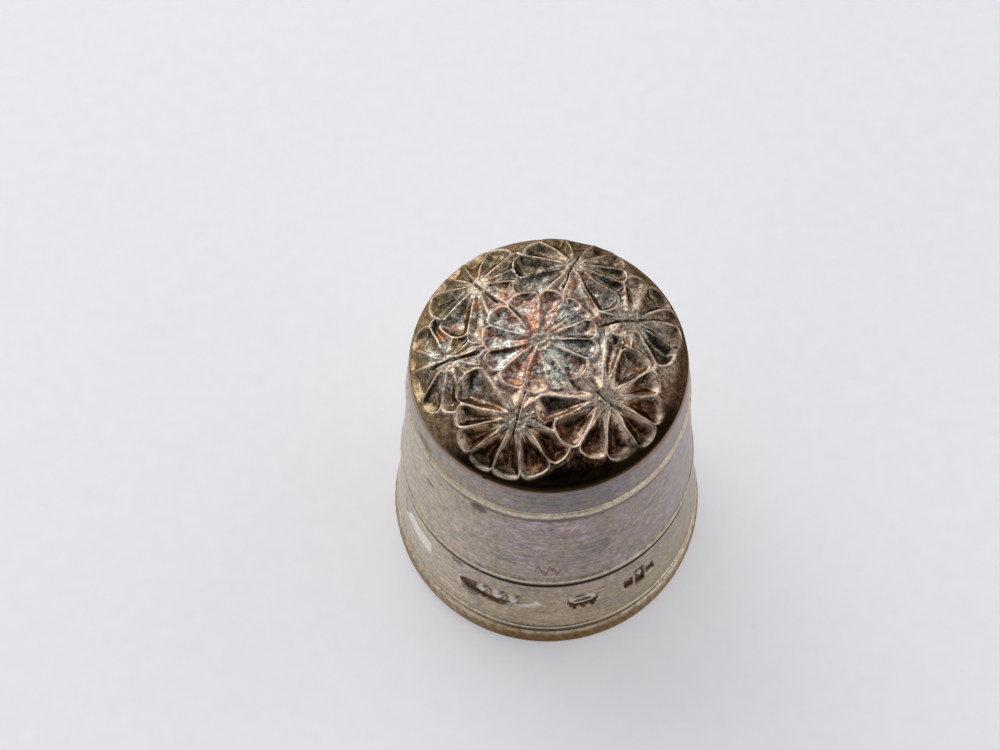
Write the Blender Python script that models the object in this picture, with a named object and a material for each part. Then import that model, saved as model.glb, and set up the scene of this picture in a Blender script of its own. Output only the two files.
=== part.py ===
"""Silver sewing thimble with a struck daisy cap, built from its soldered pieces.

Frame: metres, +Z up, origin at the centre of the mouth, which rests on z = 0.
The closed end is up. The soldered side seam is at the front left, towards -Y.
"""

import math

import bmesh
import bpy

MM = 0.001

# Driving dimensions
MOUTH_RADIUS = 8.80 * MM        # outer cone of the side band, extended to z = 0
TAPER = 0.118                   # radius lost per unit of height
WALL = 0.45 * MM                # sheet thickness of the side band
BAND_BOTTOM = 1.83 * MM
BAND_TOP = 17.90 * MM
BAND_TOP_ROUND = 0.08 * MM
TOP_STRAIGHTENING = 0.030       # the band tapers less above the upper bead
CLEARANCE = 0.02 * MM           # film of solder or air between neighbours
JOINT_GAP = 0.03 * MM           # film between pieces joined end to end

SEAT_DEPTH = 0.12 * MM          # depth of the turned seat that holds each bead
BEADS = {
    # name: centre height, height, amount it stands proud of the cone
    "lower_bead_ring": (2.29 * MM, 0.30 * MM, 0.08 * MM),
    "middle_bead_ring": (8.03 * MM, 0.46 * MM, 0.08 * MM),
    "upper_bead_ring": (15.37 * MM, 0.74 * MM, 0.12 * MM),
}
GROOVE_HEIGHT = 0.34 * MM       # sharp groove turned under the middle bead
GROOVE_DEPTH = 0.13 * MM
GROOVE_LAND = 0.02 * MM

RIM_HEIGHT = 1.80 * MM
RIM_INNER_RADIUS = 8.14 * MM
RIM_FOOT_RADIUS = 8.60 * MM
RIM_BULGE_RADIUS = 8.83 * MM
RIM_BULGE_HEIGHT = 0.85 * MM
RIM_TOP_RADIUS = 8.52 * MM

CAP_EDGE_RADIUS = 6.70 * MM
CAP_EDGE_HEIGHT = 18.10 * MM
CAP_APEX_HEIGHT = 20.00 * MM
CAP_THICKNESS = 0.55 * MM
CAP_ROUNDNESS = 2.6             # exponent of the dome: flat in the middle, steep at the edge
SPIGOT_LENGTH = 1.00 * MM
SPIGOT_WALL = 0.40 * MM

FILLET_SIZE = 0.35 * MM         # solder run in the corner under the cap's spigot

SEAM_AZIMUTH = math.radians(-115.5)
SEAM_SLOT = 0.22 * MM
SEAM_SOLDER = 0.18 * MM
CUTTER_DEPTH = 1.5 * MM

SEGMENTS = 72
CAP_SEGMENTS = 96
DOME_RINGS = 12
SHARP_ANGLE = math.radians(35)


def remove_everything():
    """Empty the scene of its objects."""
    for obj in list(bpy.data.objects):
        bpy.data.objects.remove(obj, do_unlink=True)


def metal(name, color, roughness):
    """A metallic Principled material."""
    material = bpy.data.materials.new(name)
    material.use_nodes = True
    shader = material.node_tree.nodes["Principled BSDF"]
    shader.inputs["Base Color"].default_value = (*color, 1.0)
    shader.inputs["Metallic"].default_value = 1.0
    shader.inputs["Roughness"].default_value = roughness
    return material


def cone_radius(z):
    """Outer radius of the side band at a height, without its beads."""
    radius = MOUTH_RADIUS - TAPER * z
    upper_edge = BEADS["upper_bead_ring"][0]
    if z > upper_edge:
        radius += TOP_STRAIGHTENING * (z - upper_edge)
    return radius


def dome_height(radius, inset=0.0):
    """Height of the cap's outer face, or of its inner face when inset by the cap's thickness."""
    edge = CAP_EDGE_RADIUS - inset
    rise = CAP_APEX_HEIGHT - CAP_EDGE_HEIGHT
    share = min(radius / edge, 1.0)
    return CAP_EDGE_HEIGHT - inset + rise * math.sqrt(1.0 - share ** CAP_ROUNDNESS)


def arc(centre, radius_r, radius_z, start, end, steps):
    """Points (r, z) along part of an ellipse, with angles in degrees from the +r direction."""
    points = []
    for step in range(steps + 1):
        angle = math.radians(start + (end - start) * step / steps)
        points.append((centre[0] + radius_r * math.cos(angle), centre[1] + radius_z * math.sin(angle)))
    return points


def turned(name, profile, segments, material):
    """Revolve a closed profile of (r, z) points about Z. Points at r = 0 become poles."""
    mesh = bpy.data.meshes.new(name)
    bm = bmesh.new()
    rings = []
    for radius, height in profile:
        if radius == 0.0:
            rings.append([bm.verts.new((0.0, 0.0, height))])
            continue
        ring = []
        for index in range(segments):
            angle = math.tau * index / segments
            ring.append(bm.verts.new((radius * math.cos(angle), radius * math.sin(angle), height)))
        rings.append(ring)
    for ring, following in zip(rings, rings[1:] + rings[:1]):
        join_rings(bm, ring, following, segments)
    bmesh.ops.recalc_face_normals(bm, faces=bm.faces)
    bm.to_mesh(mesh)
    bm.free()
    mesh.shade_smooth()
    mesh.set_sharp_from_angle(angle=SHARP_ANGLE)
    mesh.materials.append(material)
    obj = bpy.data.objects.new(name, mesh)
    bpy.context.collection.objects.link(obj)
    return obj


def join_rings(bm, ring, following, segments):
    """Fill between two rings of vertices, either of which may be a single pole."""
    if len(ring) == 1 and len(following) == 1:
        return
    for index in range(segments):
        after = (index + 1) % segments
        if len(ring) == 1:
            bm.faces.new((ring[0], following[index], following[after]))
        elif len(following) == 1:
            bm.faces.new((ring[after], ring[index], following[0]))
        else:
            bm.faces.new((ring[after], ring[index], following[index], following[after]))


def band_profile(offset=0.0):
    """Closed section of the side band, with a seat for each bead; offset thins it on both faces."""
    points = [(cone_radius(BAND_BOTTOM) - offset, BAND_BOTTOM)]
    for centre, height, _ in BEADS.values():
        low = centre - height / 2 - CLEARANCE
        high = centre + height / 2 + CLEARANCE
        if centre == BEADS["middle_bead_ring"][0]:
            groove_top = low - GROOVE_LAND
            groove_bottom = groove_top - GROOVE_HEIGHT
            points.append((cone_radius(groove_bottom) - offset, groove_bottom))
            points.append((cone_radius(groove_top) - GROOVE_DEPTH - offset, groove_top))
        points.append((cone_radius(low) - offset, low))
        points.append((cone_radius(low) - SEAT_DEPTH - offset, low))
        points.append((cone_radius(high) - SEAT_DEPTH - offset, high))
        points.append((cone_radius(high) - offset, high))
    corner = (cone_radius(BAND_TOP) - BAND_TOP_ROUND - offset, BAND_TOP - BAND_TOP_ROUND)
    points += arc(corner, BAND_TOP_ROUND, BAND_TOP_ROUND, 0, 90, 3)
    points.append((cone_radius(BAND_TOP) - WALL + offset, BAND_TOP))
    upper_edge = BEADS["upper_bead_ring"][0]
    points.append((cone_radius(upper_edge) - WALL + offset, upper_edge))
    points.append((cone_radius(BAND_BOTTOM) - WALL + offset, BAND_BOTTOM))
    return points


def bead_profile(centre, height, proud):
    """Closed section of a half-round wire whose flat back sits in the band's seat."""
    half = height / 2
    back = SEAT_DEPTH - CLEARANCE
    outside = arc((cone_radius(centre), centre), proud, half, -90, 90, 6)
    outside = [(radius + cone_radius(height_at) - cone_radius(centre), height_at)
               for radius, height_at in outside]
    low = centre - half
    high = centre + half
    return outside + [(cone_radius(high) - back, high), (cone_radius(low) - back, low)]


def rim_profile():
    """Closed section of the rim: half round outside, straight inside, flat where it stands."""
    lower = arc((RIM_FOOT_RADIUS, RIM_BULGE_HEIGHT), RIM_BULGE_RADIUS - RIM_FOOT_RADIUS,
                RIM_BULGE_HEIGHT, -90, 0, 5)
    upper = arc((RIM_TOP_RADIUS, RIM_BULGE_HEIGHT), RIM_BULGE_RADIUS - RIM_TOP_RADIUS,
                RIM_HEIGHT - RIM_BULGE_HEIGHT, 0, 90, 5)
    return lower + upper[1:] + [(RIM_INNER_RADIUS, RIM_HEIGHT), (RIM_INNER_RADIUS, 0.0)]


def cap_profile():
    """Closed section of the cap from its apex: dome, edge, spigot inside the band, hollow underside."""
    seat = BAND_TOP + JOINT_GAP
    spigot_outer = cone_radius(BAND_TOP) - WALL - JOINT_GAP
    spigot_inner = spigot_outer - SPIGOT_WALL
    points = [(0.0, CAP_APEX_HEIGHT)]
    for step in range(1, DOME_RINGS + 1):
        # Equal steps of this angle put the rings closer together at the steep edge.
        radius = CAP_EDGE_RADIUS * math.sin(math.pi / 2 * step / DOME_RINGS)
        points.append((radius, dome_height(radius)))
    points.append((CAP_EDGE_RADIUS, seat))
    points.append((spigot_outer, seat))
    points.append((spigot_outer, seat - SPIGOT_LENGTH))
    points.append((spigot_inner, seat - SPIGOT_LENGTH))
    inner_edge = CAP_EDGE_RADIUS - CAP_THICKNESS
    inner_rings = DOME_RINGS // 2
    for step in range(inner_rings, 0, -1):
        radius = spigot_inner * step / inner_rings
        points.append((radius, dome_height(min(radius, inner_edge), CAP_THICKNESS)))
    points.append((0.0, CAP_APEX_HEIGHT - CAP_THICKNESS))
    return points


def fillet_profile():
    """Closed section of the solder run in the corner between the spigot and the band."""
    top = BAND_TOP + JOINT_GAP - SPIGOT_LENGTH - JOINT_GAP
    bottom = top - FILLET_SIZE
    wall_at_top = cone_radius(top) - WALL - JOINT_GAP
    wall_at_bottom = cone_radius(bottom) - WALL - JOINT_GAP
    centre = (wall_at_top - FILLET_SIZE, bottom)
    hollow = arc(centre, FILLET_SIZE * 0.85, FILLET_SIZE * 0.85, 0, 90, 3)
    return [(wall_at_bottom, bottom), (wall_at_top, top), (wall_at_top - FILLET_SIZE, top)] + hollow[::-1]


def seam_cutter(name, width):
    """An upright block through the wall at the seam, used to cut the slot or to keep the solder."""
    mesh = bpy.data.meshes.new(name)
    bm = bmesh.new()
    bmesh.ops.create_cube(bm, size=1.0)
    height = BAND_TOP - BAND_BOTTOM + 2 * CUTTER_DEPTH
    bmesh.ops.scale(bm, vec=(4 * CUTTER_DEPTH, width, height), verts=bm.verts)
    bm.to_mesh(mesh)
    bm.free()
    cutter = bpy.data.objects.new(name, mesh)
    bpy.context.collection.objects.link(cutter)
    reach = MOUTH_RADIUS - 1.5 * CUTTER_DEPTH / 2
    cutter.location = (reach * math.cos(SEAM_AZIMUTH), reach * math.sin(SEAM_AZIMUTH),
                       (BAND_TOP + BAND_BOTTOM) / 2)
    cutter.rotation_euler = (0.0, 0.0, SEAM_AZIMUTH)
    cutter.hide_render = True
    cutter.display_type = "WIRE"
    return cutter


def add_boolean(obj, cutter, operation):
    """Cut an object, or keep only what lies inside the cutter."""
    modifier = obj.modifiers.new(operation.title(), "BOOLEAN")
    modifier.operation = operation
    modifier.solver = "EXACT"
    modifier.object = cutter


def build():
    """Make every piece of the thimble."""
    remove_everything()
    band_silver = metal("band_silver", (0.60, 0.57, 0.56), 0.34)
    solder_silver = metal("solder_silver", (0.63, 0.60, 0.57), 0.42)
    bead_silver = metal("bead_silver", (0.76, 0.71, 0.61), 0.24)
    rim_silver = metal("rim_silver", (0.62, 0.54, 0.43), 0.32)
    cap_silver = metal("oxidised_silver", (0.26, 0.22, 0.19), 0.36)

    band = turned("side_band", band_profile(), SEGMENTS, band_silver)
    add_boolean(band, seam_cutter("seam_slot_cutter", SEAM_SLOT), "DIFFERENCE")
    seam = turned("side_seam_solder", band_profile(CLEARANCE), SEGMENTS, solder_silver)
    add_boolean(seam, seam_cutter("seam_solder_guide", SEAM_SOLDER), "INTERSECT")

    for name, (centre, height, proud) in BEADS.items():
        turned(name, bead_profile(centre, height, proud), SEGMENTS, bead_silver)
    turned("base_rim", rim_profile(), SEGMENTS, rim_silver)
    turned("cap", cap_profile(), CAP_SEGMENTS, cap_silver)
    turned("cap_solder_fillet", fillet_profile(), SEGMENTS, solder_silver)


build()
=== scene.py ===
import itertools
import math

import bpy
import numpy as np
from mathutils import Matrix, Vector


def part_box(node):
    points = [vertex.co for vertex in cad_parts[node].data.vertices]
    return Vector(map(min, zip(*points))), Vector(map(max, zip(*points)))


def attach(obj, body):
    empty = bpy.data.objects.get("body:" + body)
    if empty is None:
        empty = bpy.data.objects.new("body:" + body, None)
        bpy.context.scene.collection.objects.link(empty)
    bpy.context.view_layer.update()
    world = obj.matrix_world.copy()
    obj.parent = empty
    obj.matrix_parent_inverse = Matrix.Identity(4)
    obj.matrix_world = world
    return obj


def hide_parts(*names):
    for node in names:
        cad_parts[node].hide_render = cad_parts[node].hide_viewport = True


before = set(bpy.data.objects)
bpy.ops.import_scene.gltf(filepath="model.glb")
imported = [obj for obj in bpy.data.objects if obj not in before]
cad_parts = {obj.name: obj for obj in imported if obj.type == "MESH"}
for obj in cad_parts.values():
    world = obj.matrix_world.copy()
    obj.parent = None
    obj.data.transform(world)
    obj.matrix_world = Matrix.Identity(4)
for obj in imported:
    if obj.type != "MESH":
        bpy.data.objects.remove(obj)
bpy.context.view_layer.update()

MM = 0.001
TAU = math.tau

# ---------------------------------------------------------------- sizes taken from the frame


def node_box(name):
    """Lowest and highest corner of a CAD node, in millimetres."""
    low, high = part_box(name)
    return np.array(low) / MM, np.array(high) / MM


BAND_LOW, BAND_HIGH = node_box("side_band")
_, RIM_HIGH = node_box("base_rim")
CAP_LOW, CAP_HIGH = node_box("cap")
SEAM_LOW, SEAM_HIGH = node_box("side_seam_solder")
FILLET_LOW, FILLET_HIGH = node_box("cap_solder_fillet")

TAPER = 0.118                 # radius that the side band loses per millimetre of height
TOP_STRAIGHTENING = 0.03      # less taper above the upper bead
WALL = 0.45
SEAM_SLOT = 0.22
JOINT_GAP = 0.03
CLEARANCE = 0.02
SEAT_DEPTH = 0.12
CAP_THICKNESS = 0.55
SPIGOT_WALL = 0.4
DOME_RISE = 1.9
DOME_EXPONENT = 2.6           # flat in the middle and steep at the edge
BEAD_NODES = ("lower_bead_ring", "middle_bead_ring", "upper_bead_ring")
UPPER_BEAD_HEIGHT = sum(corner[2] for corner in node_box("upper_bead_ring")) / 2


def cone_radius(z):
    """Outer radius of the side band at a height, without beads or marks."""
    z = np.asarray(z, float)
    radius = BAND_HIGH[0] - TAPER * (z - BAND_LOW[2])
    return radius + TOP_STRAIGHTENING * np.clip(z - UPPER_BEAD_HEIGHT, 0, None)


def bead_sizes(name):
    """Centre height, height, and how far a bead stands proud of the cone."""
    low, high = node_box(name)
    centre = (low[2] + high[2]) / 2
    return centre, high[2] - low[2], high[0] - cone_radius(centre)


BEADS = {name: bead_sizes(name) for name in BEAD_NODES}
SEAM_AZIMUTH = math.atan2(SEAM_LOW[1] + SEAM_HIGH[1], SEAM_LOW[0] + SEAM_HIGH[0])

# ---------------------------------------------------------------- noise and mesh helpers


def lumps_at(points, size, seed):
    """Smooth noise from -1 to 1 at (n, 3) points, with lumps about `size` across."""
    table = np.random.default_rng(seed).uniform(-1, 1, 4096)
    grid = points / size + 500.0
    cell = np.floor(grid).astype(int)
    share = grid - cell
    share = share * share * (3 - 2 * share)
    total = np.zeros(len(points))
    for corner in itertools.product((0, 1), repeat=3):
        index = cell + np.array(corner)
        key = (index[:, 0] * 73 + index[:, 1] * 1579 + index[:, 2] * 2833) % len(table)
        weight = np.prod(np.where(corner, share, 1 - share), axis=1)
        total += weight * table[key]
    return total


def ease(low, high, value):
    """0 below low, 1 above high, and smooth between them."""
    share = np.clip((value - low) / (high - low), 0, 1)
    return share * share * (3 - 2 * share)


def place(name, data):
    """An object that shows some data, in the scene."""
    obj = bpy.data.objects.new(name, data)
    bpy.context.scene.collection.objects.link(obj)
    return obj


def make_piece(name, points, faces, material, attributes=None, sharp_degrees=50):
    """A mesh object from points in millimetres, riding on the root body."""
    mesh = bpy.data.meshes.new(name)
    mesh.from_pydata((np.asarray(points) * MM).tolist(), [], faces)
    mesh.validate()
    for key, values in (attributes or {}).items():
        layer = mesh.attributes.new(key, "FLOAT", "POINT")
        layer.data.foreach_set("value", np.asarray(values, np.float32))
    mesh.shade_smooth()
    mesh.set_sharp_from_angle(angle=math.radians(sharp_degrees))
    mesh.materials.append(material)
    obj = place(name, mesh)
    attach(obj, "root")
    return obj


def ring_faces(rows, columns, closed_rows=True, closed_columns=True):
    """Quads over a grid of points numbered row by row, facing out when rows run up the outside."""
    faces = []
    for row in range(rows if closed_rows else rows - 1):
        following = (row + 1) % rows
        for column in range(columns if closed_columns else columns - 1):
            after = (column + 1) % columns
            faces.append((row * columns + column, row * columns + after,
                          following * columns + after, following * columns + column))
    return faces


def polar(radius, azimuth, z):
    """(n, 3) points from arrays of radius, azimuth and height."""
    return np.stack([radius * np.cos(azimuth), radius * np.sin(azimuth), z], axis=1)


def revolve(profile, azimuths):
    """Points of a profile of (r, z) rows at each azimuth, row by row."""
    radius, z = np.repeat(np.asarray(profile, float), len(azimuths), axis=0).T
    return polar(radius, np.tile(azimuths, len(profile)), z)


def even_azimuths(count):
    """Azimuths all the way round."""
    return np.arange(count) * TAU / count


def push_out(points, distance):
    """Move points away from the axis by a distance for each."""
    azimuth = np.arctan2(points[:, 1], points[:, 0])
    moved = points.copy()
    moved[:, 0] += distance * np.cos(azimuth)
    moved[:, 1] += distance * np.sin(azimuth)
    return moved


def ellipse_arc(centre, radius_r, radius_z, start, end, steps):
    """Points (r, z) along part of an ellipse, angles in degrees from the +r direction."""
    angles = np.radians(np.linspace(start, end, steps + 1))
    return [(centre[0] + radius_r * math.cos(a), centre[1] + radius_z * math.sin(a)) for a in angles]


# ---------------------------------------------------------------- the daisies on the cap

# Each daisy: centre x, centre y, reach, depth, and the azimuths of its ridges in degrees. They are
# laid out on the flattened dome, in millimetres. Each is struck over the ones that follow it.
DAISIES = (
    (-0.45, 0.15, 2.72, 0.19, (92, 63, 40, 27, 3, -23, -55, -80, -107, -138, -167, 162, 131)),
    (2.7, -2.8, 2.84, 0.5, (-157, 178, 140, 92, 75, 39, 11, -21, -52, -86, -118)),
    (-1.45, -3.78, 2.95, 0.52, (82, 124, 163, -172, -144, -116, -85, -51, -22, 8, 42)),
    (1.15, 4.55, 2.66, 0.36, (167, 200, -128, -105, -68, -40, -22, 2, 30, 62, 98, 132)),
    (-3.5, 3.3, 2.72, 0.34, (5, 28, 52, 85, 118, 152, 180, -131, -98, -70, -38)),
    (3.85, 1.4, 2.8, 0.37, (30, 5, -29, -60, -88, -117, -141, 165, 138, 97, 66)),
    (-4.75, -0.85, 2.55, 0.31, (47, 22, -12, -42, -72, -98, -129, -175, 156, 118, 84)),
)
CREST = 0.022                 # half width of a ridge's rounded top
BOWL = 0.44                   # distance over which a petal's side comes down to its floor
DEEP_BOWL = 0.6               # the same for the two deep daisies at the front
PETAL_TILT = 0.55             # how much deeper one side of a petal may be than its middle
PETAL_SPREAD = 0.22           # how much the petals' depths differ
END_FULLNESS = 1.25           # radius of a petal's rounded end, over half its width
INWARD_REACH = 0.32           # how much longer an outer daisy's petals are towards the middle one
LAND_WIDTH = 0.075            # half width of the land between deep petals, close to their centre
CORNER_ROUND = 0.24           # rounding where a petal's sides meet its end
LAND_DEPTH = 0.09             # how far the land between the daisies is beaten down
FULL_HOLLOW = 0.45            # depth at which a petal's floor counts as wholly hollow
RUBBED_AND_LIT_WIDTH = 0.05           # half width of what a finger rubs pale on a ridge, which also carries a painted highlight
DEEP_RUBBED_AND_LIT_WIDTH = 0.086     # the same on the two deep daisies
OUTER_RUBBED_AND_LIT_WIDTH = 0.052    # the same on the outer side of a daisy's edge
BOSS_RADIUS = 0.54
CREASE_DEPTH = 0.13
CREASE_WIDTH = 0.042
WARP = 0.08                   # how far the hand-struck pattern strays from a regular one


def petal_edge(x, y, daisy):
    """How far points are inside a petal (negative outside the daisy), how far from the daisy's centre,
    and the share by which their petal is deeper there than the daisy's depth."""
    centre_x, centre_y, reach, _, ridges = daisy
    rho = np.hypot(x - centre_x, y - centre_y)
    phi = np.arctan2(y - centre_y, x - centre_x) % TAU
    ridges = np.sort(np.radians(ridges) % TAU)
    after = np.searchsorted(ridges, phi) % len(ridges)
    before = after - 1
    half = ((ridges[after] - ridges[before]) % TAU) / 2
    off_middle = (phi - ridges[before]) % TAU - half
    along = rho * np.cos(off_middle)
    across = np.abs(rho * np.sin(off_middle))
    if daisy is not DAISIES[0]:
        middle_x, middle_y = DAISIES[0][:2]
        inward = math.atan2(middle_y - centre_y, middle_x - centre_x)
        faces_inward = np.clip(np.cos(ridges[before] + half - inward), 0, 1)
        reach = reach * (1 + INWARD_REACH * faces_inward)
    half_width = reach * np.sin(half)
    end_radius = END_FULLNESS * half_width
    to_side = along * np.sin(half) - across * np.cos(half)
    to_end = end_radius - np.hypot(np.maximum(along - (reach - end_radius), 0), across)
    corner = np.minimum(CORNER_ROUND, 0.55 * half_width)
    in_corner = np.hypot(np.maximum(corner - to_side, 0), np.maximum(corner - to_end, 0))
    deep_inside = (to_side > corner) & (to_end > corner)
    random = np.random.default_rng(round(100 * abs(centre_x)))
    tilts = random.uniform(-PETAL_TILT, PETAL_TILT, len(ridges))
    spreads = random.uniform(-PETAL_SPREAD, PETAL_SPREAD, len(ridges))
    deeper = tilts[after] * off_middle / half + spreads[after]
    return np.where(deep_inside, np.minimum(to_side, to_end), corner - in_corner), rho, deeper


def crease_share(x, y):
    """1 in the struck lines that run out from the middle daisy through the others, 0 away from them."""
    share = np.zeros_like(x)
    start = np.array(DAISIES[0][:2])
    for daisy in DAISIES[1:]:
        end = np.array(daisy[:2])
        length = np.linalg.norm(end - start)
        direction = (end - start) / length
        along = (x - start[0]) * direction[0] + (y - start[1]) * direction[1]
        across = (x - start[0]) * direction[1] - (y - start[1]) * direction[0]
        starts = ease(0.62 * length, 0.7 * length, along)
        ends = 1 - ease(length + 0.7, length + 1.3, along)
        share = np.maximum(share, starts * ends * np.exp(-(across / CREASE_WIDTH) ** 2))
    return share


def cap_relief(x, y):
    """Depth of the relief in millimetres, and where it is crest, hollow, boss or crease (0 to 1)."""
    flat = np.stack([x, y, np.zeros_like(x)], axis=1)
    x = x + WARP * lumps_at(flat, 1.1, 11) + 0.3 * WARP * lumps_at(flat, 0.4, 13)
    y = y + WARP * lumps_at(flat, 1.1, 12) + 0.3 * WARP * lumps_at(flat, 0.4, 14)
    depth = np.zeros_like(x)
    hollow = np.zeros_like(x)
    crest_distance = np.full_like(x, np.inf)
    crest_width = np.full_like(x, OUTER_RUBBED_AND_LIT_WIDTH)
    boss = np.zeros_like(x)
    taken = np.zeros(len(x), bool)
    to_struck = np.full_like(x, np.inf)
    for daisy in DAISIES:
        edge, rho, deeper = petal_edge(x, y, daisy)
        inside = (edge > 0) & ~taken
        deep = ease(0.38, 0.48, np.float64(daisy[3]))
        inset = LAND_WIDTH * deep * (1 - ease(0.85, 2.0, rho))
        distance = np.minimum(edge - inset, to_struck)
        slope = np.clip((distance - CREST) / (BOWL + (DEEP_BOWL - BOWL) * deep), 0, 1)
        bowl = 1 - (1 - slope) ** 2
        fall = ease(0.35, 1.9 - 0.5 * deep, rho)
        floor = daisy[3] * (0.2 + 0.8 * fall) * bowl * (1 + deeper * (1 - 0.5 * deep))
        if daisy is not DAISIES[0]:
            from_middle = np.hypot(x - DAISIES[0][0], y - DAISIES[0][1]) - DAISIES[0][2]
            floor = floor * (0.42 + 0.58 * ease(0.1, 1.5, from_middle))
        depth = np.where(inside, floor + 0.03 * ease(0.03, 0.1, inset - edge), depth)
        hollow = np.where(inside, floor / FULL_HOLLOW, hollow)
        faded = np.abs(distance) + 0.06 * ease(1.0, 0.6, rho)
        crest_distance = np.where(inside, faded, crest_distance)
        rubbed_and_lit_width = RUBBED_AND_LIT_WIDTH + (DEEP_RUBBED_AND_LIT_WIDTH - RUBBED_AND_LIT_WIDTH) * deep
        crest_width = np.where(inside, rubbed_and_lit_width, crest_width)
        on_boss = np.where(taken, 0, 1 - ease(BOSS_RADIUS * 0.75, BOSS_RADIUS * 1.1, rho))
        boss = np.maximum(boss, on_boss)
        taken |= inside
        to_struck = np.minimum(to_struck, np.maximum(-edge, 0))
    crest_distance = np.where(taken, crest_distance, to_struck)
    # Land left between the daisies is beaten down a little, except next to a crest.
    land = ~taken * ease(0.04, 0.3, to_struck)
    depth += LAND_DEPTH * land
    stipple = lumps_at(flat, 0.13, 21)
    depth = depth * (1 - boss) + boss * (0.035 + 0.028 * stipple)
    hollow = hollow * (1 - boss)
    lumps = np.clip(hollow * 1.5 + land, 0, 1)
    depth += lumps * (0.022 * lumps_at(flat, 0.45, 22) + 0.01 * lumps_at(flat, 0.16, 23))
    crease = crease_share(x, y)
    depth += CREASE_DEPTH * crease * (1 - 0.5 * np.clip(hollow, 0, 1))
    crest = np.exp(-(crest_distance / crest_width) ** 2) * (1 - boss)
    return depth, crest, hollow, boss, crease


# ---------------------------------------------------------------- the cap

CAP_GRID = 280                # quads along each side of the grid laid over the dome
EDGE_ROUND = 0.05             # rounding of the dome's lower edge
UNDERSIDE_RINGS = 9


def dome_arc():
    """Arc length, radius and height along the dome, from its apex to its edge."""
    edge = CAP_HIGH[0]
    inward = 1 - np.linspace(0, 1, 4000) ** 3
    radius = edge * np.sort(inward)
    bulge = np.sqrt(np.clip(1 - (radius / edge) ** DOME_EXPONENT, 0, 1))
    height = CAP_HIGH[2] - DOME_RISE + DOME_RISE * bulge
    arc = np.concatenate([[0], np.cumsum(np.hypot(np.diff(radius), np.diff(height)))])
    return arc, radius, height


def disc_grid(count):
    """A square grid bent into a disc: distance from the centre (0 to 1) and azimuth of each point."""
    side = np.linspace(-1, 1, count + 1)
    a, b = np.meshgrid(side, side)
    sideways = np.abs(a) > np.abs(b)
    distance = np.maximum(np.abs(a), np.abs(b))
    with np.errstate(divide="ignore", invalid="ignore"):
        across = math.pi / 4 * b / a + np.where(a < 0, math.pi, 0)
        upright = math.pi / 2 - math.pi / 4 * a / b + np.where(b < 0, math.pi, 0)
    azimuth = np.where(sideways, across, upright)
    azimuth[distance == 0] = 0
    return distance.ravel(), azimuth.ravel()


def grid_border(count):
    """Indices of a grid's border points, anticlockwise from its lower left corner."""
    size = count + 1
    bottom = list(range(count))
    right = [row * size + count for row in range(count)]
    top = [count * size + column for column in range(count, 0, -1)]
    left = [row * size for row in range(count, 0, -1)]
    return bottom + right + top + left


def cap_rings():
    """(radius, height) rings from the dome's edge round the spigot and up the hollow underside."""
    edge = CAP_HIGH[0]
    seat = BAND_HIGH[2] + JOINT_GAP
    spigot_outer = cone_radius(BAND_HIGH[2]) - WALL - JOINT_GAP
    spigot_inner = spigot_outer - SPIGOT_WALL
    rings = [(edge, seat + EDGE_ROUND), (edge - EDGE_ROUND * 0.3, seat + EDGE_ROUND * 0.3),
             (edge - EDGE_ROUND, seat), (spigot_outer, seat), (spigot_outer, CAP_LOW[2]),
             (spigot_inner, CAP_LOW[2])]
    for ring in range(UNDERSIDE_RINGS, 0, -1):
        at = spigot_inner * ring / UNDERSIDE_RINGS
        rise = DOME_RISE * math.sqrt(1 - (at / (edge - CAP_THICKNESS)) ** DOME_EXPONENT)
        rings.append((at, CAP_HIGH[2] - CAP_THICKNESS - DOME_RISE + rise))
    return rings


def build_cap(material):
    """The cap: relief on the dome, then its edge, its spigot and its plain hollow underside."""
    arc, radius, height = dome_arc()
    share, azimuth = disc_grid(CAP_GRID)
    along = share * arc[-1]
    x, y = along * np.cos(azimuth), along * np.sin(azimuth)
    depth, crest, hollow, boss, crease = cap_relief(x, y)
    near_edge = ease(arc[-1] - 0.45, arc[-1] - 0.1, along)
    depth = depth * (1 - near_edge)
    slope_r = np.gradient(radius, arc)
    slope_z = np.gradient(height, arc)
    tilt = np.arctan2(-np.interp(along, arc, slope_z), np.interp(along, arc, slope_r))
    flat = polar(along, azimuth, np.zeros_like(along))
    depth = depth + 0.03 * lumps_at(flat, 2.2, 31) * ease(0, 1.5, arc[-1] - along)
    at_radius = np.interp(along, arc, radius) - depth * np.sin(tilt)
    at_height = np.interp(along, arc, height) - depth * np.cos(tilt)
    points = [polar(at_radius, azimuth, at_height)]
    size = CAP_GRID + 1
    faces = ring_faces(size, size, closed_rows=False, closed_columns=False)
    border = grid_border(CAP_GRID)
    border_azimuth = azimuth[border]
    previous = list(border)
    total = len(points[0])
    for ring_radius, ring_height in cap_rings():
        points.append(polar(ring_radius, border_azimuth, np.full(len(border), ring_height)))
        current = list(range(total, total + len(border)))
        total += len(border)
        for index in range(len(border)):
            after = (index + 1) % len(border)
            faces.append((previous[after], previous[index], current[index], current[after]))
        previous = current
    points.append(np.array([[0, 0, CAP_HIGH[2] - CAP_THICKNESS]]))
    for index in range(len(border)):
        faces.append((previous[(index + 1) % len(border)], previous[index], total))
    points = np.concatenate(points)
    extra = np.zeros(len(points) - size * size)
    masks = {"crest": crest * (1 - near_edge), "hollow": hollow * (1 - near_edge), "boss": boss,
             "crease": crease}
    attributes = {key: np.concatenate([mask, extra]) for key, mask in masks.items()}
    cap = make_piece("cap_struck_dome", points, faces, material, attributes,
                     sharp_degrees=75)
    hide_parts("cap")


# ---------------------------------------------------------------- the side band and its punched marks

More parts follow.
